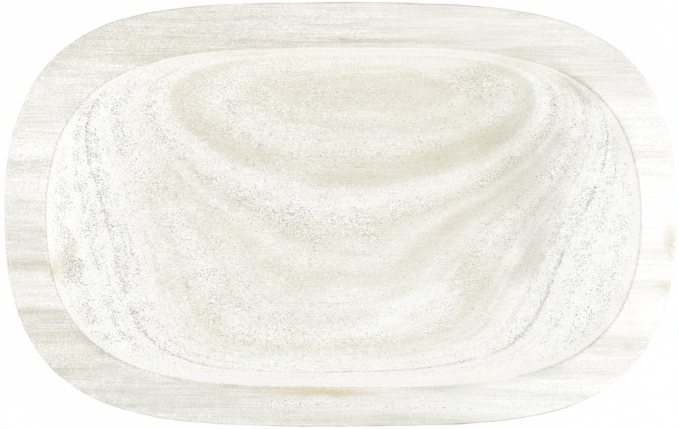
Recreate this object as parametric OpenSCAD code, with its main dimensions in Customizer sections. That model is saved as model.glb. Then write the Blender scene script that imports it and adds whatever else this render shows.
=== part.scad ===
// Long wooden dough bowl, carved from one block of wood.
// Origin at the middle of the flat base, +X along the bowl, +Z up, millimetres.

/* [Overall] */
// Length of the bowl over its rim
bowl_l = 508; // [420:1:600]
// Width of the bowl over its rim
bowl_w = 320; // [260:1:380]
// Height of the bowl from its base to its rim
bowl_h = 95; // [84:1:130]

/* [Rim] */
// Width of the flat rim at the two ends
rim_end_w = 31; // [20:0.5:45]
// Width of the flat rim along the two sides
rim_side_w = 33; // [20:0.5:45]
// Radius of the rounded outer edge of the rim
rim_outer_r = 5; // [2:0.5:8]
// Radius of the eased inner edge of the rim
rim_inner_r = 4; // [1:0.5:8]

/* [Hollow] */
// Depth of the hollow at its middle
hollow_depth = 70; // [50:1:82]
// How far the hollow was cut off centre along the bowl
hollow_off_x = 2; // [-6:0.5:6]
// How far the hollow was cut off centre across the bowl
hollow_off_y = -2; // [-6:0.5:6]

/* [Outside] */
// Length of the flat base
base_l = 270; // [200:1:340]
// Width of the flat base
base_w = 146; // [100:1:200]

/* [Smoothness] */
// Flats in each quarter of the outline
quarter_steps = 24; // [8:1:28]
// Flats up the outer flank
flank_steps = 9; // [5:1:12]
// Flats round each edge of the rim
edge_steps = 4; // [2:1:6]
// Flats from the inner edge of the rim to the middle of the hollow
hollow_steps = 16; // [8:1:20]

/* [Hidden] */

// Pale limed wood
limed_wood = [0.93, 0.92, 0.88];

// Handles of a quarter outline, as shares of the half width at its end and of the half length at its side
outside_plan_shares = [1, 0.61];
hollow_plan_shares = [1, 0.55];

// Section of the outer flank, as shares of its overhang and of its height
flank_shares = [[0, 0], [0.5, 0.17], [0.83, 0.5], [1, 1]];
// How far the flank's curve runs on below the base before it is planed flat, as a share of that curve
planing_share = 0.06;
// Handle of the hollow's wall, straight down from its edge, as a share of the hollow's depth
hollow_wall_share = 0.7;
// Handles of its floor, level from its middle, as shares of its half length and of its half width
hollow_floor_shares = [0.5, 0.8];

// Angle by which the top of the flank leans out from upright
flank_lean = 25;
// Upper end of the flank, where the rounded outer edge of the rim begins
flank_inset = rim_outer_r * (1 - cos(flank_lean));
flank_h = bowl_h - rim_outer_r * (1 + sin(flank_lean));

hollow_l = bowl_l - 2 * rim_end_w;
hollow_w = bowl_w - 2 * rim_side_w;
hollow_mid = [hollow_off_x, hollow_off_y];
centre = [0, 0];

ring_points = 4 * quarter_steps;
quarter_turn = 90;

// Point on a curve with four control points
function curve(c, t) =
    pow(1 - t, 3) * c[0]
    + 3 * pow(1 - t, 2) * t * c[1]
    + 3 * (1 - t) * pow(t, 2) * c[2]
    + pow(t, 3) * c[3];

// Value between two others
function between(low, high, share) = low + (high - low) * share;

// Control points of a quarter of the outline, from the end of the bowl round to its side
function quarter(plan_shares) = [[1, 0], [1, plan_shares[0]], [plan_shares[1], 1], [0, 1]];

// Closed outline of the given half sizes around a middle, at one height
function ring(half_l, half_w, plan_shares, mid, z) = [
    for (i = [0 : ring_points - 1])
        let (
            turn = floor(i / quarter_steps),
            step = (i % quarter_steps) / quarter_steps,
            back = turn % 2,
            unit = curve(quarter(plan_shares), back == 1 ? 1 - step : step),
            x_side = turn == 0 || turn == 3 ? 1 : -1,
            y_side = turn < 2 ? 1 : -1
        )
        [mid[0] + x_side * half_l * unit[0], mid[1] + y_side * half_w * unit[1], z]
];

// Outer flank from below the base up to the rim
function flank_rings() = [
    for (i = [0 : flank_steps - 1])
        let (
            at = curve(flank_shares, between(-planing_share, 1, i / flank_steps)),
            half_l = between(base_l / 2, bowl_l / 2 - flank_inset, at[0]),
            half_w = between(base_w / 2, bowl_w / 2 - flank_inset, at[0])
        )
        ring(half_l, half_w, outside_plan_shares, centre, flank_h * at[1])
];

// Rounded outer edge of the rim
function outer_edge_rings() = [
    for (i = [0 : edge_steps])
        let (
            angle = between(-flank_lean, quarter_turn, i / edge_steps),
            inset = rim_outer_r * (1 - cos(angle)),
            z = bowl_h - rim_outer_r * (1 - sin(angle))
        )
        ring(bowl_l / 2 - inset, bowl_w / 2 - inset, outside_plan_shares, centre, z)
];

// Eased inner edge of the rim
function inner_edge_rings() = [
    for (i = [0 : edge_steps])
        let (
            angle = quarter_turn * i / edge_steps,
            outset = rim_inner_r * (1 - sin(angle)),
            z = bowl_h - rim_inner_r * (1 - cos(angle))
        )
        ring(hollow_l / 2 + outset, hollow_w / 2 + outset, hollow_plan_shares, hollow_mid, z)
];

// Section of the hollow from its edge to its middle, as shares of its reach and of its depth
function hollow_section(floor_share) = [[1, 0], [1, hollow_wall_share], [floor_share, 1], [0, 1]];

// Wall and floor of the hollow, down to the last ring before its middle
function hollow_rings() = [
    for (i = [1 : hollow_steps - 1])
        let (
            along = curve(hollow_section(hollow_floor_shares[0]), i / hollow_steps),
            across = curve(hollow_section(hollow_floor_shares[1]), i / hollow_steps),
            z = bowl_h - between(rim_inner_r, hollow_depth, along[1])
        )
        ring(hollow_l / 2 * along[0], hollow_w / 2 * across[0], hollow_plan_shares, hollow_mid, z)
];

// Two triangles between neighbouring points of two rings
function strip(low, high) = [
    for (i = [0 : ring_points - 1])
        let (
            a = low * ring_points + i,
            b = low * ring_points + (i + 1) % ring_points,
            c = high * ring_points + i,
            d = high * ring_points + (i + 1) % ring_points
        )
        each [[a, c, d], [a, d, b]]
];

// Skin lofted through every ring, closed below and at the middle of the hollow
module carved_skin() {
    rings = concat(flank_rings(), outer_edge_rings(), inner_edge_rings(), hollow_rings());
    last = len(rings) - 1;
    floor_middle = [hollow_mid[0], hollow_mid[1], bowl_h - hollow_depth];
    points = concat([for (r = rings) each r], [floor_middle]);
    underside = [[for (i = [0 : ring_points - 1]) i]];
    skin = [for (k = [0 : last - 1]) each strip(k, k + 1)];
    first = last * ring_points;
    floor_fan = [
        for (i = [0 : ring_points - 1])
            [first + i, len(points) - 1, first + (i + 1) % ring_points]
    ];
    polyhedron(points, concat(underside, skin, floor_fan), convexity = 4);
}

// The whole bowl, with its base planed flat
module bowl() {
    color(limed_wood)
    difference() {
        carved_skin();
        translate([-bowl_l / 2, -bowl_w / 2, -bowl_h])
            cube([bowl_l, bowl_w, bowl_h]);
    }
}

bowl();
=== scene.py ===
"""Long dough bowl carved from one block of pale limed wood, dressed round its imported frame."""

import math
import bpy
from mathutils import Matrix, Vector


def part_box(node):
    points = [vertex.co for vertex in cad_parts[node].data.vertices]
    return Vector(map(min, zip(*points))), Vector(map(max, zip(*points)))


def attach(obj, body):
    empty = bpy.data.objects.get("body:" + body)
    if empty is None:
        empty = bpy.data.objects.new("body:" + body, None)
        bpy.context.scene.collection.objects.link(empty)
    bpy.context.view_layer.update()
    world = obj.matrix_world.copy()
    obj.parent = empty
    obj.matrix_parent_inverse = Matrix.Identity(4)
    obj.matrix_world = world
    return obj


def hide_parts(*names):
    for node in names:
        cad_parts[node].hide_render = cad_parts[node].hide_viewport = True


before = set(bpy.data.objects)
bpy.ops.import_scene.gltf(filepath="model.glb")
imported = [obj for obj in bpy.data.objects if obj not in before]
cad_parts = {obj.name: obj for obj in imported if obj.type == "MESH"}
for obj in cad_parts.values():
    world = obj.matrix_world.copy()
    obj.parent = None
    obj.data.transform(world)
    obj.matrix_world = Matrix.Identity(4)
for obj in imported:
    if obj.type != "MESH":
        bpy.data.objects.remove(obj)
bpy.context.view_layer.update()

from types import SimpleNamespace

import bmesh
import bpy
from bpy.props import FloatProperty, FloatVectorProperty, PointerProperty
from mathutils import Vector

bl_info = {
    "name": "Dough Bowl",
    "version": (1, 0, 0),
    "blender": (4, 5, 0),
    "location": "View3D > Sidebar > Bowl",
    "description": "Carves a long wooden dough bowl and limes its wood",
    "category": "Object",
}

BOWL_LOW, BOWL_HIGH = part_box("bowl")

# Handles of a quarter outline, as shares of the half width at its end and the half length at its side
OUTSIDE_PLAN_SHARES = (1.0, 0.61)
HOLLOW_PLAN_SHARES = (1.0, 0.55)
# Section of the outer flank, as shares of its overhang and its height
FLANK_SHARES = ((0, 0), (0.5, 0.17), (0.83, 0.5), (1, 1))
# Handle of the hollow's wall, straight down from its edge, as a share of the hollow's depth
HOLLOW_WALL_SHARE = 0.7
# Handles of its floor, level from its middle, as shares of its half length and its half width
HOLLOW_FLOOR_SHARES = (0.5, 0.8)
# How far the flank's curve runs on below the base before it is planed flat
PLANING_SHARE = 0.06
FLANK_LEAN = math.radians(25)

QUARTER_STEPS = 24
FLANK_STEPS = 9
EDGE_STEPS = 4
HOLLOW_STEPS = 20
RIM_CUTS = 2
SMOOTH_LEVELS = 2
TINY = 1e-5

# Growth rings in the hollow: distance from the pith in millimetres, and how brown the wood is there
HOLLOW_RINGS = (
    (226, 0.14), (250, 0.10), (262, 0.06), (272, 0.07), (278, 0.12), (281, 0.14), (284, 0.08),
    (287, 0.14), (290, 0.24), (291.5, 0.40), (293.5, 0.42), (296, 0.14), (297.5, 0.36), (299.3, 0.28),
    (301, 0.52), (302.4, 0.24), (304, 0.54), (305.5, 0.36), (307.3, 0.10), (308.8, 0.28),
    (310.3, 0.58), (311.6, 0.66), (313, 0.57), (314.5, 0.40), (316, 0.30), (318, 0.36), (320, 0.44),
    (322, 0.52), (324, 0.57), (330, 0.55), (336, 0.30),
)
# How thickly open pores lie along the same rings
PORE_RINGS = (
    (226, 0.40), (250, 0.50), (256, 0.70), (260, 0.80), (266, 0.70), (268, 0.35), (270.5, 0.12),
    (273, 0.50), (275, 0.75), (277, 0.40), (279, 0.12), (280.5, 0.45), (282.5, 0.90), (284.5, 0.65),
    (286, 0.35), (288, 0.12), (292, 0.15), (294, 0.60), (296, 0.80), (297.5, 0.50), (300, 0.15),
    (303, 0.15), (304.3, 0.85), (305.8, 0.95), (307, 0.45), (308.5, 0.15), (311, 0.15), (313, 0.25),
    (314.8, 0.55), (316.5, 0.45), (320, 0.30), (330, 0.20),
)
# The same rings as bands across the flat rim at its left end: millimetres across the bowl, and how brown
LEFT_BANDS = (
    (-160, 0.95), (-153, 0.52), (-140, 0.72), (-136, 0.58), (-132, 0.75), (-126, 0.42), (-120, 0.78),
    (-115, 0.80), (-111, 0.60), (-98, 0.58), (-90, 0.90), (-79, 0.70), (-74, 0.95), (-70, 0.40),
    (-62, 0.38), (-47, 0.45), (-37, 0.90), (-30, 0.52), (-17, 0.72), (-8, 0.56), (2, 0.45),
    (11, 0.48), (16, 0.18), (26, 0.22), (38, 0.62), (45, 0.20), (53, 0.14), (62, 0.36), (96, 0.42),
    (110, 0.55), (124, 0.80), (150, 0.65),
)
# The bands at its right end, where the wash lies thicker
RIGHT_BANDS = (
    (-160, 0.75), (-153, 0.22), (-147, 0.28), (-143, 0.28), (-138, 0.40), (-133, 0.12), (-126, 0.20),
    (-120, 0.38), (-114, 0.22), (-106, 0.35), (-100, 0.50), (-97, 0.28), (-94, 0.50), (-88, 0.10),
    (-66, 0.02), (-58, 0.25), (-52, 0.28), (-46, 0.02), (-40, 0.08), (-28, 0.18), (-16, 0.00),
    (25, 0.00), (30, 0.15), (36, 0.03), (46, 0.28), (54, 0.10), (80, 0.08), (90, 0.30), (106, 0.50),
    (120, 0.60), (141, 0.42), (147, 0.60),
)
# How far the bands run down towards the right, and where the middle of the rim lies at each end
BAND_TURN = math.radians(-1.7)
RIM_END_X = 238
# Marks in the wash: place, half length, half width, turn in degrees, and how much browner the wood is
# The marks along the lower-right inner edge, at (186, -94), (150, -118) and (85, -129), are partly a beige
# tone and partly painted shade under the lip
WASH_MARKS = (
    (48, -73, 54, 11, 29, -0.50), (15, 130.5, 120, 2.5, 0, 0.45), (140, 28, 50, 65, 0, 0.31),
    (152, -28, 38, 15, 54, 0.46), (101, -38, 34, 13, 52, 0.36), (100, 58, 50, 14, 14, 0.22),
    (-42, 30, 44, 13, -12, -0.22), (110, 110, 35, 12, 0, 0.25), (135, 118, 36, 11, 0, 0.36),
    (-45, 97, 30, 12, 0, 0.10), (-138, 18, 26, 26, 0, 0.24), (-112, -5, 24, 42, 0, 0.06),
    (-185, 30, 18, 34, 0, -0.18), (212, -25, 12, 45, 0, -0.15), (212, 56, 12, 30, 15, 0.28),
    (168, 59, 14, 12, 0, 0.20), (-133, -56, 14, 12, 0, 0.15), (-96, -74, 14, 26, 0, 0.18),
    (-80, -106, 20, 10, 0, -0.10), (10, -62, 44, 18, 0, -0.22), (80, -20, 40, 14, 40, 0.12),
    (-196, 78, 16, 16, 40, 0.32), (-208, -36, 13, 32, 0, 1.10), (-194, -76, 14, 20, 30, 0.45),
    (-190, 113, 32, 15, 20, -0.22), (180, 96, 38, 9, -42, 0.52), (186, -94, 30, 9, 42, 0.22),
    (150, -118, 42, 8, 18, 0.24), (85, -129, 60, 6, 5, 0.30), (-185, -97, 28, 8, -35, 0.45),
    (140, -46, 22, 14, 45, 0.20), (118, 90, 26, 11, 20, 0.20), (92, -2, 30, 12, 40, 0.22),
    (12, -22, 26, 8, 0, -0.20), (-76, 123, 40, 5, 2, 0.36), (67, 131, 40, 5, 0, 0.20),
    (135, -31, 15, 13, 0, -0.18), (84, 97, 24, 12, 0, 0.12), (-143, -121, 34, 6, -14, -0.20),
    (20, 80, 40, 14, 0, -0.12), (-58, -21, 16, 20, 0, -0.12), (105, -58, 28, 28, 30, 0.14),
    (-172, 98, 16, 12, 40, 0.18), (-128, 94, 14, 16, 0, 0.14), (-15, 37, 30, 10, -5, -0.10),
    (216, -70, 8, 20, 25, 0.18), (-70, -131, 50, 5, -4, 0.30), (156, -44, 16, 16, 0, 0.16),
    (172, 2, 13, 20, 0, 0.14), (88, 72, 44, 9, 14, 0.14), (-52, -2, 28, 7, -6, -0.14),
    (-45, -18, 30, 7, -12, 0.16), (-48, -36, 26, 7, -10, -0.12), (45, -62, 24, 8, 20, 0.12),
)
# Yellow-brown stains in the same form, with how strong each one is at the end
STAINS = (
    (-8, -134, 54, 5, -1, 0.65), (-42, -132, 90, 6, -1, 0.25), (-217, -42, 6, 12, 0, 0.50),
    (248, -20, 9, 18, 0, 0.42), (245, -55, 9, 9, 0, 0.30), (216, -99, 6, 6, 0, 0.25),
    (62, 44, 42, 9, 10, 0.22),
)
# Places where open pores crowd together in the same form, with how thickly they lie at the end
PORE_CROWDS = (
    (105, 103, 30, 19, 0, 0.75), (-84, 83, 12, 9, 0, 0.8), (-38, 1, 46, 7, -3, 0.6),
    (-193, 82, 8, 16, -20, 0.9), (-203, -42, 10, 20, 10, 0.8), (10, -144, 140, 2.4, -2, 0.55),
    (-74, 129, 24, 1.6, 2, 0.9), (7, 131, 30, 1.2, 0, 0.8),
)
# Thin lines of late wood: distance from the pith and half width in millimetres, and how dark
LATE_WOOD = (
    (274.5, 0.8, 0.4), (277.5, 0.8, 0.4), (281.5, 0.9, 1.5), (286, 0.8, 0.4), (289.5, 0.8, 0.3),
)
# Share of that half width over which a line is fully dark
LINE_CORE = 0.3
# Patches of fine tool marks: place, half length across the marks, half width, and turn in degrees
TOOL_PATCHES = (
    (-88, 108, 34, 22, 30), (-45, 110, 44, 18, 30), (-65, -93, 26, 18, 30), (-114, -104, 16, 12, 30),
    (-138, 40, 34, 50, -30),
)
# Millimetres from one tool mark to the next
TOOL_SPACING = 2.2
# How far in from its border a mark or a patch has its full strength, as a share of its half sizes
MARK_FULL = 0.9
PATCH_FULL = 0.6
MM = 1000

# Grains per millimetre of the noises in the wood, along the bowl, across it and up
SWAY_GRAIN = (0.006, 0.02, 0.02)
QUIVER_GRAIN = (0.03, 0.15, 0.15)
WANDER_GRAIN = (0.012, 0.05, 0.0)
RAGGED_GRAIN = (0.06, 0.12, 0.12)
STROKE_SWAY_GRAIN = (0.10, 0.10, 0.10)
STROKE_GRAIN = (0.3, 0.3, 0.3)
BLOTCH_GRAIN = (0.03, 0.05, 0.05)
CLUMP_GRAIN = (0.05, 0.09, 0.09)
STREAK_GRAIN = (0.007, 0.11, 0.11)
FLECK_GRAIN = (0.12, 0.12, 0.12)
FIBRE_GRAIN = (0.02, 0.8, 0.8)
GRIT_GRAIN = (0.7, 1.2, 1.2)
FINE_RING_GRAIN = 0.8
# Millimetres from one side to the other over which some of them push a point about
SWAY_REACH = (0.0, 1.0, 1.0)
QUIVER_REACH = (0.0, 0.6, 0.6)
WANDER_REACH = (0.0, 6.0, 0.0)
RAGGED_REACH = (16.0, 6.0, 0.0)
STROKE_REACH = (5.0, 5.0, 0.0)
# Values of a noise between which strokes, late wood, clumps of pores and the painted shade on the rim's
# outer edge come in
STROKE_CUT = (0.40, 0.62)
LATE_WOOD_CUT = (0.3, 0.55)
CLUMP_CUT = (0.32, 0.60)
EDGE_SHADE_CUT = (0.20, 0.75)

# Heights in millimetres between which the parts of the rim begin
RIM_RISE = (92.4, 93.6)
SHOULDER_RISE = (82.0, 92.0)
LIP_RISE = (89.5, 91.5)
VERGE_RISE = (88.0, 91.0)
# Heights between which the rows of pores end, towards the top of the wall
BRINK_RISE = (67.0, 86.0)
# Millimetres along the bowl between which its left, its right and both its ends begin
LEFT_START = (80.0, -60.0)
RIGHT_START = (80.0, 190.0)
ENDS_START = (100.0, 210.0)
# Millimetres across the bowl between which its front begins
FRONT_START = (-95.0, -140.0)
# Millimetres along the bowl between which one end's bands pass into the other's, and the rings fade
BAND_CHANGE = (-140.0, 170.0)
FADE_START = (-100.0, -150.0)
# How far a normal points along the bowl on end grain, and up on steep, curled and upper surfaces
END_GRAIN_FACING = (0.12, 0.55)
STEEP_FACING = (0.8, 0.3)
CURL_TOP_FACING = (0.95, 0.80)
CURL_FOOT_FACING = (0.40, 0.60)
UPWARD_FACING = (0.0, 0.2)
# How far it points away from the middle, times the distance in millimetres
INWARD_FACING = (0.0, -30.0)
OUTWARD_FACING = (0.0, 30.0)

# How much browner each thing makes the wood, and how strongly each pattern swings that
LATE_WOOD_BROWN = 0.20
OUTSIDE_BROWN = 0.18
# The lip's brown is partly wear and partly painted shade under the rounded inner edge
LIP_BROWN = 0.25
STREAK_SWING = 1.4
FINE_RING_SWING = 0.30
BLOTCH_SWING = 0.30
FLECK_SWING = 0.5
# How much of the brown the wash covers on the walls
WALL_WASH = 0.55
# How far the rings fade at the left end, and the brown that they fade to
FADE_SHARE = 0.35
FADED_BROWN = (0.14, 0.14, 0.14, 1.0)
# Brown at which the thin wash on the floor of the hollow is fully creamy
CREAM_FULL = 0.25

# Cells that pores lie in, length and width in millimetres, and a pore's radius as a share of its cell
FINE_CELL = (1.25, 1.0)
FINE_PORE = 0.43
WIDE_CELL = (4.5, 3.6)
WIDE_PORE = 0.20
# Share of its radius over which a pore is fully dark, and how dark the palest pores are
PORE_CORE = 0.55
PALEST_PORE = 0.45
# How thickly pores lie on side grain, at the right, at the left, on late wood and in crowds
SIDE_GRAIN_PORES = 0.18
RIGHT_PORES = 0.75
LEFT_PORES = 1.2
LATE_WOOD_PORES = 0.3
CROWD_PORES = 0.5
# Share of the wide pores, how many pores the side walls lose, and how dark pores are on side grain
WIDE_SHARE = 0.25
SIDE_WALL_LOSS = 0.8
SIDE_GRAIN_DARK = 0.8

# How strongly grit and fibres show everywhere, and how much more strongly in places
GRIT_SWING = 0.46
OPEN_GRAIN_GRIT = 1.1
CROWD_GRIT = 0.9
END_GRAIN_GRIT = 0.45
LEFT_GRIT = 0.35
FIBRE_SWING = 0.20
RIM_FIBRE_SWING = 0.35
# How much lighter or darker tool marks, late wood and the end walls are, and how dark the painted shade
# and wear at the lip are
TOOLS_SHADE = 0.11
LATE_WOOD_SHADE = -0.06
LIP_PAINTED_SHADE = -0.16
END_WALL_SHADE = 0.035
# How dark the painted shade along the rim's outer edge is, in the pores' colour
EDGE_SHADE_DARK = 0.50
WHITEST = (0.98, 0.98, 0.98)

# Relief of grit and tool marks beside the pores' depth of 1, and that depth in metres
GRIT_RELIEF = 0.4
TOOLS_RELIEF = 0.3
PORE_DEPTH = 0.0003
BUMP_STRENGTH = 0.6
LIME_ROUGHNESS = 0.82
WOOD_ROUGHNESS = 0.66
WOOD_SHEEN = 0.25

# Sizes in metres of the patterns that the surface is carved by
WOBBLE_SIZE = 0.11
SCOOP_SIZE = 0.028
GOUGE_SIZE = 0.022
# How softly the carved regions end
BORDER_SOFTNESS = 0.5
BORDER_STEPS = 8
CREASE_ANGLE = math.radians(12)

# The floor lies a little below the base, so that the two never share a plane
FLOOR_Z = -0.0005
FLOOR_SIZE = 8.0
FLOOR_GREY = (0.9, 0.9, 0.9, 1.0)
# Share of plain white that the camera sees in the floor, beside its grey with the shadows
FLOOR_WHITE_SHARE = 0.96
WHITE = (1.0, 1.0, 1.0, 1.0)
WINDOW_PLACE = (0.3, -0.2, 1.6)
WINDOW_SIZE = 1.2


class BowlSizes(bpy.types.PropertyGroup):
    """Sizes that the bowl is carved to"""

    length: FloatProperty(
        name="Length", description="Length over the rim",
        default=BOWL_HIGH.x - BOWL_LOW.x, unit="LENGTH")
    width: FloatProperty(
        name="Width", description="Width over the rim",
        default=BOWL_HIGH.y - BOWL_LOW.y, unit="LENGTH")
    height: FloatProperty(
        name="Height", description="Height from the base to the rim",
        default=BOWL_HIGH.z - BOWL_LOW.z, unit="LENGTH")
    rim_end_w: FloatProperty(
        name="Rim at ends", description="Width of the flat rim at the two ends",
        default=0.031, unit="LENGTH")
    rim_side_w: FloatProperty(
        name="Rim at sides", description="Width of the flat rim along the two sides",
        default=0.033, unit="LENGTH")
    rim_outer_r: FloatProperty(
        name="Outer edge", description="Radius of the outer edge of the rim",
        default=0.005, unit="LENGTH")
    rim_inner_r: FloatProperty(
        name="Inner edge", description="Radius of the inner edge of the rim",
        default=0.004, unit="LENGTH")
    hollow_depth: FloatProperty(
        name="Hollow depth", description="Depth of the hollow at its middle",
        default=0.070, unit="LENGTH")
    hollow_mid: FloatVectorProperty(
        name="Hollow middle", description="How far the hollow was cut off centre",
        default=(0.002, -0.002), size=2, subtype="TRANSLATION")
    base_l: FloatProperty(
        name="Base length", description="Length of the flat base",
        default=0.270, unit="LENGTH")
    base_w: FloatProperty(
        name="Base width", description="Width of the flat base",
        default=0.146, unit="LENGTH")
    hand_wobble: FloatProperty(
        name="Hand wobble", description="How far the hand-cut surfaces wander",
        default=0.0016, unit="LENGTH")
    scoop_marks: FloatProperty(
        name="Scoop marks", description="Height of the scoop marks in the hollow",
        default=0.0009, unit="LENGTH")
    gouge_marks: FloatProperty(
        name="Gouge marks", description="Height of the gouge marks on the outside",
        default=0.0016, unit="LENGTH")


class BowlFinish(bpy.types.PropertyGroup):
    """Colours of the limed wood"""

    lime: FloatVectorProperty(
        name="Lime", description="Whitewash lying in the wood",
        default=(0.965, 0.965, 0.96), size=3, subtype="COLOR", min=0, max=1)
    cream: FloatVectorProperty(
        name="Cream", description="Wash rubbed thin on the floor of the hollow",
        default=(0.964, 0.961, 0.947), size=3, subtype="COLOR", min=0, max=1)
    wood: FloatVectorProperty(
        name="Wood", description="Pale brown wood showing through the wash in the hollow",
        default=(0.690, 0.657, 0.500), size=3, subtype="COLOR", min=0, max=1)
    grey_wood: FloatVectorProperty(
        name="Grey wood",
        description="Greyer wood showing through the wash at the right of the hollow and on the front rim",
        default=(0.650, 0.640, 0.560), size=3, subtype="COLOR", min=0, max=1)
    rim_wood: FloatVectorProperty(
        name="Rim wood", description="Pale brown wood showing through the wash on the rim",
        default=(0.710, 0.680, 0.590), size=3, subtype="COLOR", min=0, max=1)
    stain: FloatVectorProperty(
        name="Stain", description="Yellow-brown stains in the wood",
        default=(0.68, 0.58, 0.39), size=3, subtype="COLOR", min=0, max=1)
    # The pores' colour also paints the shade along the rim's outer edge
    pore: FloatVectorProperty(
        name="Pores", description="Open pores that the wash left dark",
        default=(0.070, 0.062, 0.045), size=3, subtype="COLOR", min=0, max=1)
    pith: FloatVectorProperty(
        name="Pith line", description="Point on the pith line that the rings run round",
        default=(0.0, -0.046, 0.328), size=3, subtype="TRANSLATION")
    pith_turn: FloatProperty(
        name="Pith turn", description="How far the pith line turns from the bowl's length",
        default=math.radians(-2.9), subtype="ANGLE")
    pith_dip: FloatProperty(
        name="Pith dip", description="How far the pith line dips towards the right",
        default=math.radians(0.45), subtype="ANGLE")


class BowlStage(bpy.types.PropertyGroup):
    """Camera and light"""

    camera_rise: FloatProperty(
        name="Camera rise", description="Height of the camera above the rim",
        default=1.8, unit="LENGTH")
    frame_w: FloatProperty(
        name="Frame width", description="Width of the picture at the rim",
        default=0.511, unit="LENGTH")
    camera_x: FloatProperty(
        name="Camera offset", description="How far the camera stands to the right",
        default=-0.0008, unit="LENGTH")
    sky: FloatProperty(
        name="Sky", description="Strength of the even light from above", default=0.685)
    sky_sides: FloatProperty(
        name="Sky sides", description="How much stronger that light is from the sides", default=1.1)
    window_power: FloatProperty(
        name="Window", description="Power of the large soft lamp overhead", default=3.0, unit="POWER")


def between(low, high, share):
    """Returns the value that lies the given share of the way between two others."""
    return low + (high - low) * share


def curve_point(points, share):
    """Returns the point at a share of a curve with four control points."""
    rest = 1 - share
    weights = (rest ** 3, 3 * rest ** 2 * share, 3 * rest * share ** 2, share ** 3)
    return [sum(w * p[axis] for w, p in zip(weights, points)) for axis in range(2)]


def outside_stations(sizes):
    """Returns half length, half width and height of each ring from below the base to the rim's top."""
    edge = sizes.rim_outer_r
    inset = edge * (1 - math.cos(FLANK_LEAN))
    flank_h = sizes.height - edge * (1 + math.sin(FLANK_LEAN))
    stations = []
    for step in range(FLANK_STEPS):
        out, up = curve_point(FLANK_SHARES, between(-PLANING_SHARE, 1, step / FLANK_STEPS))
        half_l = between(sizes.base_l / 2, sizes.length / 2 - inset, out)
        half_w = between(sizes.base_w / 2, sizes.width / 2 - inset, out)
        stations.append((half_l, half_w, flank_h * up))
    for step in range(EDGE_STEPS + 1):
        angle = between(-FLANK_LEAN, math.pi / 2, step / EDGE_STEPS)
        inset = edge * (1 - math.cos(angle))
        z = sizes.height - edge * (1 - math.sin(angle))
        stations.append((sizes.length / 2 - inset, sizes.width / 2 - inset, z))
    return stations


def hollow_stations(sizes):
    """Returns half length, half width and height of each ring from the rim's top down the hollow."""
    edge = sizes.rim_inner_r
    half_l = sizes.length / 2 - sizes.rim_end_w
    half_w = sizes.width / 2 - sizes.rim_side_w
    stations = []
    for step in range(EDGE_STEPS + 1):
        angle = math.pi / 2 * step / EDGE_STEPS
        outset = edge * (1 - math.sin(angle))
        z = sizes.height - edge * (1 - math.cos(angle))
        stations.append((half_l + outset, half_w + outset, z))
    for step in range(1, HOLLOW_STEPS):
        along, across = (
            curve_point(((1, 0), (1, HOLLOW_WALL_SHARE), (floor_share, 1), (0, 1)), step / HOLLOW_STEPS)
            for floor_share in HOLLOW_FLOOR_SHARES)
        z = sizes.height - between(edge, sizes.hollow_depth, along[1])
        stations.append((half_l * along[0], half_w * across[0], z))
    return stations


def draw_oval(name, station, plan_shares, mid):
    """Draws an oval with four curve points at a station and makes it a ring of edges."""
    half_l, half_w, z = station
    bpy.ops.object.select_all(action="DESELECT")
    bpy.ops.curve.primitive_bezier_circle_add(radius=1)
    oval = bpy.context.object
    oval.name = name
    oval.data.resolution_u = QUARTER_STEPS
    points = oval.data.splines[0].bezier_points
    for point in points:
        point.handle_left_type = "FREE"
        point.handle_right_type = "FREE"
    for point in points:
        at_end = abs(point.co.x) > abs(point.co.y)
        heading = (point.handle_right - point.co).normalized()
        reach = half_w * plan_shares[0] if at_end else half_l * plan_shares[1]
        place = Vector((mid[0] + point.co.x * half_l, mid[1] + point.co.y * half_w, z))
        point.co = place
        point.handle_right = place + heading * reach
        point.handle_left = place - heading * reach
    bpy.ops.object.convert(target="MESH")
    return oval


def extrude_rings(oval, stations, mid):
    """Extrudes a ring from station to station, and leaves the last ring selected in edit mode."""
    bpy.ops.object.mode_set(mode="EDIT")
    bpy.ops.mesh.select_all(action="SELECT")
    for (last_l, last_w, last_z), (half_l, half_w, z) in zip(stations, stations[1:]):
        bpy.ops.mesh.extrude_region_move(TRANSFORM_OT_translate={"value": (0, 0, z - last_z)})
        bpy.ops.transform.resize(
            value=(half_l / last_l, half_w / last_w, 1), center_override=(mid[0], mid[1], z))


def select_where(test):
    """Selects the vertices of the mesh in edit mode that pass a test of their place and normal."""
    data = bpy.context.object.data
    bpy.ops.mesh.select_mode(type="VERT")
    mesh = bmesh.from_edit_mesh(data)
    for vert in mesh.verts:
        vert.select_set(test(vert.co, vert.normal))
    mesh.select_flush_mode()
    bmesh.update_edit_mesh(data)


def apply_modifier(piece, name, kind, **settings):
    """Adds a modifier to the active piece and applies it."""
    modifier = piece.modifiers.new(name, kind)
    for setting, value in settings.items():
        setattr(modifier, setting, value)
    bpy.ops.object.modifier_apply(modifier=name)


def group_where(piece, name, test):
    """Puts the vertices that pass a test in a group with a soft border."""
    bpy.ops.object.mode_set(mode="EDIT")
    select_where(test)
    group = piece.vertex_groups.new(name=name)
    piece.vertex_groups.active_index = group.index
    bpy.ops.object.vertex_group_assign()
    bpy.ops.mesh.select_all(action="SELECT")
    bpy.ops.object.vertex_group_smooth(factor=BORDER_SOFTNESS, repeat=BORDER_STEPS)
    bpy.ops.object.mode_set(mode="OBJECT")


def roughen(piece, name, size, height, group="", kind="CLOUDS", depth=1):
    """Moves the surface in and out by a soft pattern of the given size and height."""
    pattern = bpy.data.textures.new(name, kind)
    pattern.noise_scale = size
    if kind == "CLOUDS":
        pattern.noise_depth = depth
    apply_modifier(
        piece, name, "DISPLACE", texture=pattern, texture_coords="LOCAL", strength=height,
        mid_level=0.5, vertex_group=group)


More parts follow.
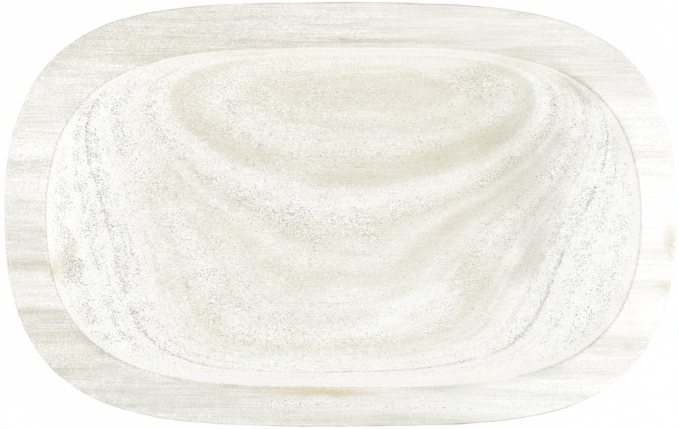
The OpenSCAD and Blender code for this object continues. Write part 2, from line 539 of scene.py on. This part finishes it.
def plane_base(piece):
    """Planes the underside flat at the height of the base and closes it."""
    bpy.ops.object.mode_set(mode="EDIT")
    bpy.ops.mesh.select_all(action="SELECT")
    bpy.ops.mesh.bisect(plane_co=(0, 0, 0), plane_no=(0, 0, 1), use_fill=True, clear_inner=True)
    bpy.ops.mesh.select_all(action="SELECT")
    bpy.ops.mesh.normals_make_consistent(inside=False)
    bpy.ops.object.mode_set(mode="OBJECT")


def model_bowl(sizes):
    """Models the bowl: lofts its outside and its hollow, joins them over the rim and carves them."""
    centre = (0.0, 0.0)
    stations = outside_stations(sizes)
    bowl = draw_oval("carved_bowl", stations[0], OUTSIDE_PLAN_SHARES, centre)
    extrude_rings(bowl, stations, centre)
    bpy.ops.object.mode_set(mode="OBJECT")

    stations = hollow_stations(sizes)
    hollow = draw_oval("hollow", stations[0], HOLLOW_PLAN_SHARES, sizes.hollow_mid)
    extrude_rings(hollow, stations, sizes.hollow_mid)
    bpy.ops.mesh.fill_grid(span=QUARTER_STEPS)
    bpy.ops.object.mode_set(mode="OBJECT")

    bowl.select_set(True)
    bpy.context.view_layer.objects.active = bowl
    bpy.ops.object.join()
    bpy.ops.object.mode_set(mode="EDIT")
    select_where(lambda co, normal: co.z > sizes.height - TINY)
    bpy.ops.mesh.bridge_edge_loops(number_cuts=RIM_CUTS, interpolation="LINEAR")
    bpy.ops.mesh.select_all(action="SELECT")
    bpy.ops.mesh.normals_make_consistent(inside=False)
    bpy.ops.object.mode_set(mode="OBJECT")
    apply_modifier(bowl, "smooth", "SUBSURF", levels=SMOOTH_LEVELS, render_levels=SMOOTH_LEVELS)

    top = sizes.height - sizes.rim_inner_r
    group_where(bowl, "hollow", lambda co, normal: normal.z > 0 and co.z < top)
    group_where(bowl, "flank", lambda co, normal: normal.z < 0 and co.z < top)
    roughen(bowl, "hand_wobble", WOBBLE_SIZE, sizes.hand_wobble)
    roughen(bowl, "scoop_marks", SCOOP_SIZE, sizes.scoop_marks, group="hollow", depth=2)
    roughen(bowl, "gouge_marks", GOUGE_SIZE, sizes.gouge_marks, group="flank", kind="VORONOI")
    plane_base(bowl)
    bpy.ops.object.shade_smooth_by_angle(angle=CREASE_ANGLE)
    return bowl


def new_node(tree, kind, sockets=None, **settings):
    """Adds a node, sets its options and fills its sockets with values or with other nodes' outputs."""
    made = tree.nodes.new("ShaderNode" + kind)
    for option, value in settings.items():
        setattr(made, option, value)
    for socket, value in (sockets or {}).items():
        if isinstance(value, bpy.types.NodeSocket):
            tree.links.new(value, made.inputs[socket])
        else:
            made.inputs[socket].default_value = value
    return made


def reckon(tree, operation, first, second=0.0, clamp=False):
    """Returns the result of a sum on two values."""
    sockets = {0: first, 1: second}
    return new_node(tree, "Math", sockets, operation=operation, use_clamp=clamp).outputs[0]


def times(tree, first, second):
    """Returns the product of two values."""
    return reckon(tree, "MULTIPLY", first, second)


def add_share(tree, total, share, weight):
    """Returns a total with a share added to it, times the share's weight."""
    return reckon(tree, "ADD", total, times(tree, share, weight))


def rest_of(tree, share):
    """Returns what a share leaves of 1."""
    return reckon(tree, "SUBTRACT", 1.0, share)


def mapped(tree, share, low, high=1.0):
    """Returns the value that lies a share, kept from 0 to 1, of the way between two others."""
    return new_node(tree, "MapRange", {"Value": share, "To Min": low, "To Max": high}).outputs[0]


def vector_sum(tree, operation, first, second):
    """Returns the result of a sum on two vectors."""
    return new_node(tree, "VectorMath", {0: first, 1: second}, operation=operation).outputs[0]


def soft_step(tree, value, low, high):
    """Returns a smooth change from 0 at low to 1 at high, also where high is the lower of the two."""
    sockets = {"Value": value, "From Min": low, "From Max": high}
    return new_node(tree, "MapRange", sockets, interpolation_type="SMOOTHSTEP").outputs[0]


def blend(tree, share, first, second):
    """Returns a blend of two colours."""
    sockets = {0: share, 6: first, 7: second}
    return new_node(tree, "Mix", sockets, data_type="RGBA").outputs[2]


def noise(tree, place, per_mm, detail=2.0, roughness=0.5):
    """Returns a noise node stretched to the given grains per millimetre on each axis."""
    stretched = vector_sum(tree, "MULTIPLY", place, per_mm)
    sockets = {"Vector": stretched, "Scale": 1.0, "Detail": detail, "Roughness": roughness}
    return new_node(tree, "TexNoise", sockets)


def centred(tree, colour, reach):
    """Returns a noise colour as a push of up to half the given reach to either side."""
    middle = vector_sum(tree, "SUBTRACT", colour, (0.5, 0.5, 0.5))
    return vector_sum(tree, "MULTIPLY", middle, reach)


def swing(tree, pattern, weight):
    """Returns a pattern that swings about zero, from one that swings about a half."""
    return times(tree, reckon(tree, "SUBTRACT", pattern, 0.5), weight)


def along_grain(tree, place, finish):
    """Returns each point's place along and across the grain, in millimetres from the pith."""
    pith = [MM * part for part in finish.pith]
    turn = (0.0, finish.pith_dip, finish.pith_turn)
    sockets = {"Vector": place, "Location": pith, "Rotation": turn}
    return new_node(tree, "Mapping", sockets, vector_type="TEXTURE").outputs[0]


def pith_distance(tree, grain):
    """Returns how far each point of the wood lies from the pith line, with some sway."""
    sway = noise(tree, grain, SWAY_GRAIN, detail=1.0).outputs[1]
    quiver = noise(tree, grain, QUIVER_GRAIN, detail=2.0).outputs[1]
    swayed = vector_sum(tree, "ADD", grain, centred(tree, sway, SWAY_REACH))
    swayed = vector_sum(tree, "ADD", swayed, centred(tree, quiver, QUIVER_REACH))
    across = vector_sum(tree, "MULTIPLY", swayed, (0.0, 1.0, 1.0))
    return new_node(tree, "VectorMath", {0: across}, operation="LENGTH").outputs["Value"]


def tone_at(tree, value, stops):
    """Returns the tone at a value, from 0 to 1, read off stops along that value."""
    low, high = stops[0][0], stops[-1][0]
    share = new_node(tree, "MapRange", {"Value": value, "From Min": low, "From Max": high}).outputs[0]
    ramp = new_node(tree, "ValToRGB", {"Fac": share})
    marks = ramp.color_ramp.elements
    marks.remove(marks[1])
    marks[0].position = 0.0
    marks[0].color = [stops[0][1]] * 3 + [1.0]
    for at, tone in stops[1:]:
        mark = marks.new((at - low) / (high - low))
        mark.color = [tone] * 3 + [1.0]
    return ramp.outputs[0]


def rim_bands(tree, place, end_x, bands):
    """Returns how brown the growth rings make the rim, as bands that run on from one of its ends."""
    sockets = {"Vector": place, "Location": (end_x, 0.0, 0.0), "Rotation": (0.0, 0.0, BAND_TURN)}
    turned = new_node(tree, "Mapping", sockets, vector_type="TEXTURE").outputs[0]
    across = new_node(tree, "SeparateXYZ", {0: turned}).outputs[1]
    return tone_at(tree, across, bands)


def late_wood_lines(tree, radius):
    """Returns thin dark lines along some of the growth rings."""
    total = 0.0
    for distance, half_w, dark in LATE_WOOD:
        off = reckon(tree, "ABSOLUTE", reckon(tree, "SUBTRACT", radius, distance))
        total = add_share(tree, total, soft_step(tree, off, half_w, half_w * LINE_CORE), dark)
    return total


def open_pores(tree, grain, cell, size, share):
    """Returns open pores, some darker than others, in a share of cells of a length and a width."""
    cells = vector_sum(tree, "DIVIDE", grain, (cell[0], cell[1], cell[1]))
    pores = new_node(tree, "TexVoronoi", {"Vector": cells, "Scale": 1.0, "Randomness": 1.0})
    dots = soft_step(tree, pores.outputs["Distance"], size, size * PORE_CORE)
    chance, depth, _ = new_node(tree, "SeparateColor", {0: pores.outputs["Color"]}).outputs
    kept = reckon(tree, "LESS_THAN", chance, share)
    return times(tree, times(tree, dots, kept), mapped(tree, depth, PALEST_PORE))


def spot(tree, place, x, y, half_l, half_w, turn):
    """Returns a soft oval spot on the bowl seen from above, and the places along it in half lengths."""
    sockets = {
        "Vector": place, "Location": (x, y, 0.0), "Rotation": (0.0, 0.0, math.radians(turn)),
        "Scale": (half_l, half_w, MM)}
    within = new_node(tree, "Mapping", sockets, vector_type="TEXTURE").outputs[0]
    fade = new_node(tree, "TexGradient", {"Vector": within}, gradient_type="SPHERICAL").outputs[1]
    return fade, new_node(tree, "SeparateXYZ", {0: within}).outputs[0]


def add_marks(tree, place, marks):
    """Returns the sum of soft marks with ragged borders."""
    ragged = noise(tree, place, RAGGED_GRAIN, detail=3.0, roughness=0.6).outputs[1]
    ragged = vector_sum(tree, "ADD", place, centred(tree, ragged, RAGGED_REACH))
    total = 0.0
    for *shape, strength in marks:
        fade, _ = spot(tree, ragged, *shape)
        total = add_share(tree, total, soft_step(tree, fade, 0.0, MARK_FULL), strength)
    return total


def tool_marks(tree, place):
    """Returns fine strokes of the gouge, side by side in patches, as a height about zero."""
    sway = noise(tree, place, STROKE_SWAY_GRAIN, detail=2.0).outputs[1]
    swayed = vector_sum(tree, "ADD", place, centred(tree, sway, STROKE_REACH))
    strokes = soft_step(tree, noise(tree, place, STROKE_GRAIN, detail=1.0).outputs[0], *STROKE_CUT)
    total = 0.0
    for x, y, half_l, half_w, turn in TOOL_PATCHES:
        fade, along = spot(tree, swayed, x, y, half_l, half_w, turn)
        wave = reckon(tree, "SINE", times(tree, along, half_l * 2 * math.pi / TOOL_SPACING))
        total = add_share(tree, total, wave, soft_step(tree, fade, 0.0, PATCH_FULL))
    return times(tree, total, strokes)


def read_surface(tree, finish):
    """Returns where each point of the wood lies, and shares that tell the parts of the bowl apart."""
    coordinates = new_node(tree, "TexCoord").outputs
    place = vector_sum(tree, "MULTIPLY", coordinates["Object"], (MM, MM, MM))
    x, y, z = new_node(tree, "SeparateXYZ", {0: place}).outputs
    facing = new_node(tree, "SeparateXYZ", {0: coordinates["Normal"]}).outputs
    level = vector_sum(tree, "MULTIPLY", place, (1.0, 1.0, 0.0))
    sockets = {0: coordinates["Normal"], 1: level}
    outward = new_node(tree, "VectorMath", sockets, operation="DOT_PRODUCT").outputs["Value"]
    inward = soft_step(tree, outward, *INWARD_FACING)
    end_grain = soft_step(tree, reckon(tree, "ABSOLUTE", facing[0]), *END_GRAIN_FACING)
    side_grain = rest_of(tree, end_grain)
    steep = times(tree, soft_step(tree, facing[2], *STEEP_FACING), side_grain)
    outer = soft_step(tree, outward, *OUTWARD_FACING)
    shoulder = times(tree, outer, soft_step(tree, z, *SHOULDER_RISE))
    rim = reckon(tree, "MAXIMUM", soft_step(tree, z, *RIM_RISE), shoulder)
    # The lip carries wear and painted shade along the rim's inner edge
    lip = times(tree, inward, soft_step(tree, z, *LIP_RISE))
    curl_top = soft_step(tree, facing[2], *CURL_TOP_FACING)
    curl = times(tree, curl_top, soft_step(tree, facing[2], *CURL_FOOT_FACING))
    ends = soft_step(tree, reckon(tree, "ABSOLUTE", x), *ENDS_START)
    crest = times(tree, curl, ends)
    # The outer edge of the rim, where shade is painted
    verge = times(tree, outer, soft_step(tree, z, *VERGE_RISE))
    grain = along_grain(tree, place, finish)
    radius = pith_distance(tree, grain)
    blotches = noise(tree, place, BLOTCH_GRAIN, detail=3.0, roughness=0.6).outputs[0]
    wander = noise(tree, place, WANDER_GRAIN, detail=2.0).outputs[1]
    wander = vector_sum(tree, "ADD", place, centred(tree, wander, WANDER_REACH))
    off_rim = soft_step(tree, rim, 1.0, 0.0)
    broken = times(tree, off_rim, soft_step(tree, blotches, *LATE_WOOD_CUT))
    side_wall = times(tree, steep, inward)
    upward = soft_step(tree, facing[2], *UPWARD_FACING)
    late_wood = times(tree, late_wood_lines(tree, radius), broken)
    open_grain = tone_at(tree, radius, PORE_RINGS)
    open_grain = add_share(tree, open_grain, late_wood, LATE_WOOD_PORES)
    clumps = noise(tree, place, CLUMP_GRAIN, detail=3.0, roughness=0.6).outputs[0]
    open_grain = times(tree, open_grain, soft_step(tree, clumps, *CLUMP_CUT))
    lost = times(tree, side_wall, SIDE_WALL_LOSS)
    for share in (lost, soft_step(tree, z, *BRINK_RISE)):
        open_grain = times(tree, open_grain, rest_of(tree, share))
    return SimpleNamespace(
        place=place, grain=grain, radius=radius, wander=wander, blotches=blotches, x=x, rim=rim,
        end_grain=end_grain, end_wall=times(tree, end_grain, inward),
        left=soft_step(tree, x, *LEFT_START),
        right=soft_step(tree, x, *RIGHT_START),
        front=soft_step(tree, y, *FRONT_START),
        upward=upward, side_wall=side_wall, late_wood=late_wood, open_grain=open_grain,
        crowds=times(tree, add_marks(tree, place, PORE_CROWDS), upward),
        lip=times(tree, lip, crest),
        verge=times(tree, verge, steep))


def wood_brown(tree, surface):
    """Returns how brown the wood is: growth rings, bands on the rim, where the wash was rubbed, and wear
    and painted shade at the lip.
    """
    left, right = (
        rim_bands(tree, surface.wander, end_x, bands)
        for end_x, bands in ((-RIM_END_X, LEFT_BANDS), (RIM_END_X, RIGHT_BANDS)))
    bands = blend(tree, soft_step(tree, surface.x, *BAND_CHANGE), left, right)
    streaks = noise(tree, surface.wander, STREAK_GRAIN, detail=3.0, roughness=0.6).outputs[0]
    streaks = reckon(tree, "ADD", 1.0, swing(tree, streaks, STREAK_SWING))
    bands = times(tree, bands, streaks)
    rings = tone_at(tree, surface.radius, HOLLOW_RINGS)
    faded = times(tree, soft_step(tree, surface.x, *FADE_START), FADE_SHARE)
    rings = blend(tree, faded, rings, FADED_BROWN)
    brown = blend(tree, surface.rim, rings, bands)
    sockets = {"W": times(tree, surface.radius, FINE_RING_GRAIN), "Scale": 1.0, "Detail": 3.0}
    fine_rings = new_node(tree, "TexNoise", sockets, noise_dimensions="1D").outputs[0]
    flecks = noise(tree, surface.place, FLECK_GRAIN, detail=4.0, roughness=0.65).outputs[0]
    flecks_weight = times(tree, surface.left, FLECK_SWING)
    patterns = (
        (fine_rings, FINE_RING_SWING), (surface.blotches, BLOTCH_SWING), (flecks, flecks_weight))
    for pattern, weight in patterns:
        brown = reckon(tree, "ADD", brown, swing(tree, pattern, weight))

    brown = add_share(tree, brown, surface.late_wood, LATE_WOOD_BROWN)
    marks = times(tree, add_marks(tree, surface.place, WASH_MARKS), surface.upward)
    brown = reckon(tree, "ADD", brown, marks)
    brown = add_share(tree, brown, rest_of(tree, surface.upward), OUTSIDE_BROWN)
    left_wall = times(tree, surface.end_wall, surface.left)
    wall = reckon(tree, "MAXIMUM", surface.side_wall, left_wall)
    brown = times(tree, brown, rest_of(tree, times(tree, wall, WALL_WASH)))
    # Wear and painted shade at the lip, as brown
    return reckon(tree, "ADD", brown, times(tree, surface.lip, LIP_BROWN), clamp=True)


def wood_pores(tree, surface):
    """Returns where open pores show: in rows along the growth rings, most of them on end grain."""
    crowd = mapped(tree, surface.end_grain, SIDE_GRAIN_PORES)
    thick = mapped(tree, surface.left, RIGHT_PORES, LEFT_PORES)
    crowd = times(tree, times(tree, crowd, thick), surface.open_grain)
    crowd = add_share(tree, crowd, surface.crowds, CROWD_PORES)
    fine_pores = open_pores(tree, surface.grain, FINE_CELL, FINE_PORE, crowd)
    wide = times(tree, crowd, times(tree, surface.end_grain, WIDE_SHARE))
    wide_pores = open_pores(tree, surface.grain, WIDE_CELL, WIDE_PORE, wide)
    dark = mapped(tree, surface.end_grain, SIDE_GRAIN_DARK)
    return times(tree, reckon(tree, "MAXIMUM", fine_pores, wide_pores), dark)


def wood_shade(tree, surface, brown, grit, tools):
    """Returns how light or dark the fine grain, tool marks and late wood make the wood, about 1, with
    lighter end walls and painted shade and wear at the lip.
    """
    fibres = noise(tree, surface.wander, FIBRE_GRAIN, detail=2.0, roughness=0.6).outputs[0]
    grit_weight = GRIT_SWING
    grit_weights = (
        (surface.open_grain, OPEN_GRAIN_GRIT), (surface.crowds, CROWD_GRIT),
        (surface.end_grain, END_GRAIN_GRIT), (surface.left, LEFT_GRIT))
    for share, weight in grit_weights:
        grit_weight = add_share(tree, grit_weight, share, weight)
    fibre_weight = times(tree, surface.rim, times(tree, brown, RIM_FIBRE_SWING))
    fibre_weight = reckon(tree, "ADD", FIBRE_SWING, fibre_weight)
    shade = reckon(tree, "SUBTRACT", 1.0, swing(tree, grit, grit_weight))
    shade = reckon(tree, "SUBTRACT", shade, swing(tree, fibres, fibre_weight))
    # The lip's darkening is painted shade under the rounded inner edge, with some wear
    shade_weights = (
        (tools, TOOLS_SHADE), (surface.late_wood, LATE_WOOD_SHADE),
        (surface.lip, LIP_PAINTED_SHADE), (surface.end_wall, END_WALL_SHADE))
    for share, weight in shade_weights:
        shade = add_share(tree, shade, share, weight)
    return shade


def wash_colour(tree, surface, finish, brown):
    """Returns the colour of the washed wood, creamy where the wash is thin on the hollow's floor."""
    steep = reckon(tree, "MAXIMUM", surface.end_grain, surface.side_wall)
    steep = reckon(tree, "MAXIMUM", steep, surface.right)
    level = rest_of(tree, reckon(tree, "MAXIMUM", surface.rim, steep))
    thin = times(tree, soft_step(tree, brown, 0.0, CREAM_FULL), level)
    washed = blend(tree, thin, (*finish.lime, 1.0), (*finish.cream, 1.0))
    bare = blend(tree, surface.right, (*finish.wood, 1.0), (*finish.grey_wood, 1.0))
    bare_rim = blend(tree, surface.front, (*finish.rim_wood, 1.0), (*finish.grey_wood, 1.0))
    bare = blend(tree, surface.rim, bare, bare_rim)
    return blend(tree, brown, washed, bare)


def limed_wood(finish):
    """Makes the limed wood: growth rings, fine grain, open pores, stains, a rubbed whitewash, and painted
    shade along the rim's edges.
    """
    material = bpy.data.materials.new("limed_wood")
    material.use_nodes = True
    tree = material.node_tree
    shader = tree.nodes["Principled BSDF"]
    surface = read_surface(tree, finish)
    brown = wood_brown(tree, surface)
    pores = wood_pores(tree, surface)
    tools = times(tree, tool_marks(tree, surface.place), surface.upward)
    grit = noise(tree, surface.place, GRIT_GRAIN, detail=1.5, roughness=0.6).outputs[0]

    colour = wash_colour(tree, surface, finish, brown)
    stains = times(tree, add_marks(tree, surface.place, STAINS), surface.upward)
    colour = blend(tree, stains, colour, (*finish.stain, 1.0))
    shade = wood_shade(tree, surface, brown, grit, tools)
    colour = new_node(tree, "VectorMath", {0: colour, "Scale": shade}, operation="SCALE").outputs[0]
    colour = vector_sum(tree, "MINIMUM", colour, WHITEST)
    # Painted shade along the rim's outer edge, broken up by blotches, in the pores' colour
    painted_edge_shade = times(tree, surface.verge, soft_step(tree, surface.blotches, *EDGE_SHADE_CUT))
    dark = reckon(tree, "MAXIMUM", pores, times(tree, painted_edge_shade, EDGE_SHADE_DARK))
    colour = blend(tree, dark, colour, (*finish.pore, 1.0))
    tree.links.new(colour, shader.inputs["Base Color"])

    relief = reckon(tree, "SUBTRACT", times(tree, grit, GRIT_RELIEF), pores)
    relief = add_share(tree, relief, tools, TOOLS_RELIEF)
    sockets = {"Height": relief, "Strength": BUMP_STRENGTH, "Distance": PORE_DEPTH}
    bump = new_node(tree, "Bump", sockets)
    tree.links.new(bump.outputs[0], shader.inputs["Normal"])
    dull = mapped(tree, brown, LIME_ROUGHNESS, WOOD_ROUGHNESS)
    tree.links.new(dull, shader.inputs["Roughness"])
    shader.inputs["Specular IOR Level"].default_value = WOOD_SHEEN
    return material


def in_sight(tree):
    """Returns 1 for rays from the camera, also by way of a mirror or glass, and 0 for others."""
    path = new_node(tree, "LightPath").outputs
    seen = reckon(tree, "MAXIMUM", path["Is Camera Ray"], path["Is Glossy Ray"])
    return reckon(tree, "MAXIMUM", seen, path["Is Transmission Ray"])


def white_floor():
    """Makes a pale floor that the camera sees as nearly white, with the bowl's shadow on it."""
    material = bpy.data.materials.new("white_floor")
    material.use_nodes = True
    tree = material.node_tree
    tree.nodes.clear()
    paper = new_node(tree, "BsdfDiffuse", {"Color": FLOOR_GREY}).outputs[0]
    white = new_node(tree, "Emission", {"Color": WHITE, "Strength": 1.0}).outputs[0]
    share = times(tree, in_sight(tree), FLOOR_WHITE_SHARE)
    mixed = new_node(tree, "MixShader", {0: share, 1: paper, 2: white}).outputs[0]
    new_node(tree, "OutputMaterial", {0: mixed})
    return material


def soft_sky(strength, sides):
    """Makes a world that lights softly, most from the sides, and that the camera sees as white."""
    world = bpy.data.worlds.new("soft_sky")
    world.use_nodes = True
    tree = world.node_tree
    tree.nodes.clear()
    heading = new_node(tree, "TexCoord").outputs["Generated"]
    rise = new_node(tree, "SeparateXYZ", {0: heading}).outputs[2]
    light = mapped(tree, rise, strength * (1 + sides), strength)
    level = mapped(tree, in_sight(tree), light)
    sky = new_node(tree, "Background", {"Color": WHITE, "Strength": level}).outputs[0]
    new_node(tree, "OutputWorld", {0: sky})
    return world


def soft_lamp(name, place, target, size, power):
    """Adds a large square lamp at a place, aimed at a target."""
    bpy.ops.object.light_add(type="AREA", location=place)
    lamp = bpy.context.object
    lamp.name = name
    lamp.data.size = size
    lamp.data.energy = power
    lamp.rotation_euler = (Vector(target) - Vector(place)).to_track_quat("-Z", "Y").to_euler()


class BOWL_OT_carve(bpy.types.Operator):
    """Carves the bowl from one block and limes its wood"""

    bl_idname = "dough_bowl.carve"
    bl_label = "Carve Bowl"

    def execute(self, context):
        bowl = model_bowl(context.scene.bowl_sizes)
        bowl.data.materials.clear()
        bowl.data.materials.append(limed_wood(context.scene.bowl_finish))
        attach(bowl, "root")
        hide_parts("bowl")
        return {"FINISHED"}


class BOWL_OT_stage(bpy.types.Operator):
    """Lays the floor and sets the light and the camera"""

    bl_idname = "dough_bowl.stage"
    bl_label = "Set Stage"

    def execute(self, context):
        scene = context.scene
        stage = scene.bowl_stage
        height = scene.bowl_sizes.height
        bpy.ops.object.select_all(action="DESELECT")
        bpy.ops.mesh.primitive_plane_add(size=FLOOR_SIZE, location=(0, 0, FLOOR_Z))
        floor = context.object
        floor.name = "floor"
        floor.data.materials.append(white_floor())
        scene.world = soft_sky(stage.sky, stage.sky_sides)
        soft_lamp("window", WINDOW_PLACE, (0, 0, height), WINDOW_SIZE, stage.window_power)
        place = (stage.camera_x, 0, height + stage.camera_rise)
        bpy.ops.object.camera_add(location=place, rotation=(0, 0, 0))
        camera = context.object
        camera.data.lens = camera.data.sensor_width * stage.camera_rise / stage.frame_w
        scene.camera = camera
        scene.view_settings.view_transform = "Standard"
        return {"FINISHED"}


class BOWL_PT_panel(bpy.types.Panel):
    """Lists the steps of making the bowl"""

    bl_idname = "BOWL_PT_panel"
    bl_label = "Dough Bowl"
    bl_space_type = "VIEW_3D"
    bl_region_type = "UI"
    bl_category = "Bowl"

    def draw(self, context):
        for operator in (BOWL_OT_carve, BOWL_OT_stage):
            self.layout.operator(operator.bl_idname)


CLASSES = (BowlSizes, BowlFinish, BowlStage, BOWL_OT_carve, BOWL_OT_stage, BOWL_PT_panel)


def register():
    """Registers the classes and hangs the settings on the scene."""
    for cls in CLASSES:
        bpy.utils.register_class(cls)
    bpy.types.Scene.bowl_sizes = PointerProperty(type=BowlSizes)
    bpy.types.Scene.bowl_finish = PointerProperty(type=BowlFinish)
    bpy.types.Scene.bowl_stage = PointerProperty(type=BowlStage)


def unregister():
    """Takes the settings and the classes away again."""
    del bpy.types.Scene.bowl_stage
    del bpy.types.Scene.bowl_finish
    del bpy.types.Scene.bowl_sizes
    for cls in reversed(CLASSES):
        bpy.utils.unregister_class(cls)


def main():
    """Registers the add-on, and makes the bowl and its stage."""
    register()
    bpy.ops.dough_bowl.carve()
    bpy.ops.dough_bowl.stage()


if __name__ == "__main__":
    main()
